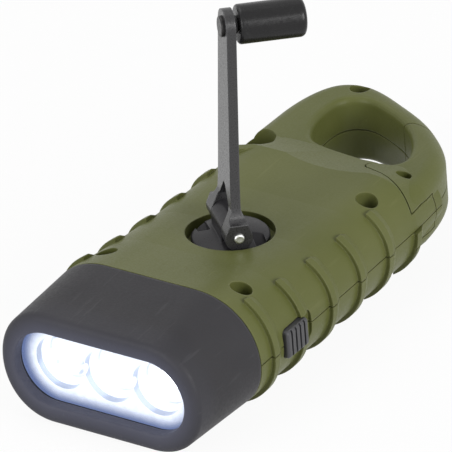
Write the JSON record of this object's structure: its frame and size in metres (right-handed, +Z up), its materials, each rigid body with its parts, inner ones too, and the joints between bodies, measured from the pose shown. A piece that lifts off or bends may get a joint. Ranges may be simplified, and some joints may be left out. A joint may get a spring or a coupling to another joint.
{
  "type": "hand crank flashlight",
  "caption": "Hand crank flashlight with a ribbed casing, oval lamp head, folding crank arm with a turning knob, sliding switch and a clip ring with a spring gate.",
  "frame": {"origin": "middle of the bounding box's bottom, on the surface the light lies on", "axes": "+Y back from the lamp head to the clip ring, +Z up, +X towards the side with the switch and the gate"},
  "size_m": [0.0549, 0.1264, 0.0775],
  "materials": {
    "green_plastic": "satin moulded plastic",
    "dark_plastic": "matte moulded plastic",
    "black_plastic": "satin moulded plastic",
    "clear_plastic": "clear and polished",
    "mirror_finish": "bright metallised plastic",
    "lamp_resin": "clear resin, lit white",
    "seal_rubber": "soft and dull",
    "board": "lacquered board",
    "wire_cover": "soft insulation",
    "cell_steel": "plated steel",
    "steel": "plain steel",
    "bush_brass": "turned brass",
    "gear_plastic": "natural nylon",
    "magnet": "dark sintered magnet",
    "stator_steel": "pressed steel",
    "copper": "enamelled copper wire"
  },
  "bodies": {
    "casing": {"upper_shell": "green_plastic", "lower_shell": "green_plastic", "shell_screws": "steel", "head_bezel": "dark_plastic", "lens_gasket": "seal_rubber", "lens": "clear_plastic", "reflector": "mirror_finish", "lamps": "lamp_resin", "lamp_board": "board", "lamp_wires": "wire_cover", "battery_cells": "cell_steel", "battery_holder": "black_plastic", "main_board": "board", "switch_body": "black_plastic", "gearbox_base": "steel", "gearbox_top": "steel", "gearbox_screws": "steel", "hub_bush": "bush_brass", "first_idler_shaft": "steel", "second_idler_shaft": "steel", "rotor_bush": "bush_brass", "stator_core": "stator_steel", "stator_coil": "copper", "gate_pin": "steel", "gate_spring": "steel"},
    "crank": {"crank_hub": "black_plastic", "drive_gear": "gear_plastic", "hub_washer": "steel", "gear_screw": "steel"},
    "arm": {"crank_arm": "black_plastic", "arm_pin": "steel", "knob_axle": "steel"},
    "knob": {"crank_knob": "black_plastic"},
    "first_idler": {"first_idler_gear": "gear_plastic"},
    "second_idler": {"second_idler_gear": "gear_plastic"},
    "rotor": {"rotor_pinion": "gear_plastic", "rotor_magnet": "magnet", "rotor_shaft": "steel"},
    "slider": {"switch_slider": "black_plastic"},
    "gate": {"gate_upper": "green_plastic", "gate_lower": "green_plastic", "gate_screw": "steel"}
  },
  "joints": [
    {"name": "crank_spin", "type": "hinge", "parent": "casing", "child": "crank", "pos_m": [0, -0.01165, 0.02375], "axis": [0, 0, 1], "continuous": true},
    {"name": "arm_fold", "type": "hinge", "parent": "crank", "child": "arm", "pos_m": [0, -0.01165, 0.02695], "axis": [-0.7431, 0.6691, 0], "range_deg": [-89.5, 84.5]},
    {"name": "knob_spin", "type": "hinge", "parent": "arm", "child": "knob", "pos_m": [0.0019, -0.00954, 0.07337], "axis": [0.6679, 0.7418, -0.061], "continuous": true},
    {"name": "first_idler_spin", "type": "hinge", "parent": "casing", "child": "first_idler", "pos_m": [0.00949, 0.00123, 0.0134], "axis": [0, 0, 1], "continuous": true},
    {"name": "second_idler_spin", "type": "hinge", "parent": "casing", "child": "second_idler", "pos_m": [-0.004, 0.00495, 0.0106], "axis": [0, 0, 1], "continuous": true},
    {"name": "rotor_spin", "type": "hinge", "parent": "casing", "child": "rotor", "pos_m": [0.00128, 0.01628, 0.0106], "axis": [0, 0, 1], "continuous": true},
    {"name": "switch_slide", "type": "slide", "parent": "casing", "child": "slider", "axis": [0, 1, 0], "range_m": [0, 0.0028]},
    {"name": "gate_hinge", "type": "hinge", "parent": "casing", "child": "gate", "pos_m": [0.011, 0.02915, 0.0135], "axis": [0, 0, 1], "range_deg": [0, 25], "stiffness_Nm_per_rad": 0.03, "springref_deg": -8.59, "deforming": ["gate_spring"]}
  ],
  "couplings": [
    {"joint": "first_idler_spin", "follows": "crank_spin", "ratio": -4.3333},
    {"joint": "second_idler_spin", "follows": "crank_spin", "ratio": 15.889},
    {"joint": "rotor_spin", "follows": "crank_spin", "ratio": -63.556}
  ]
}
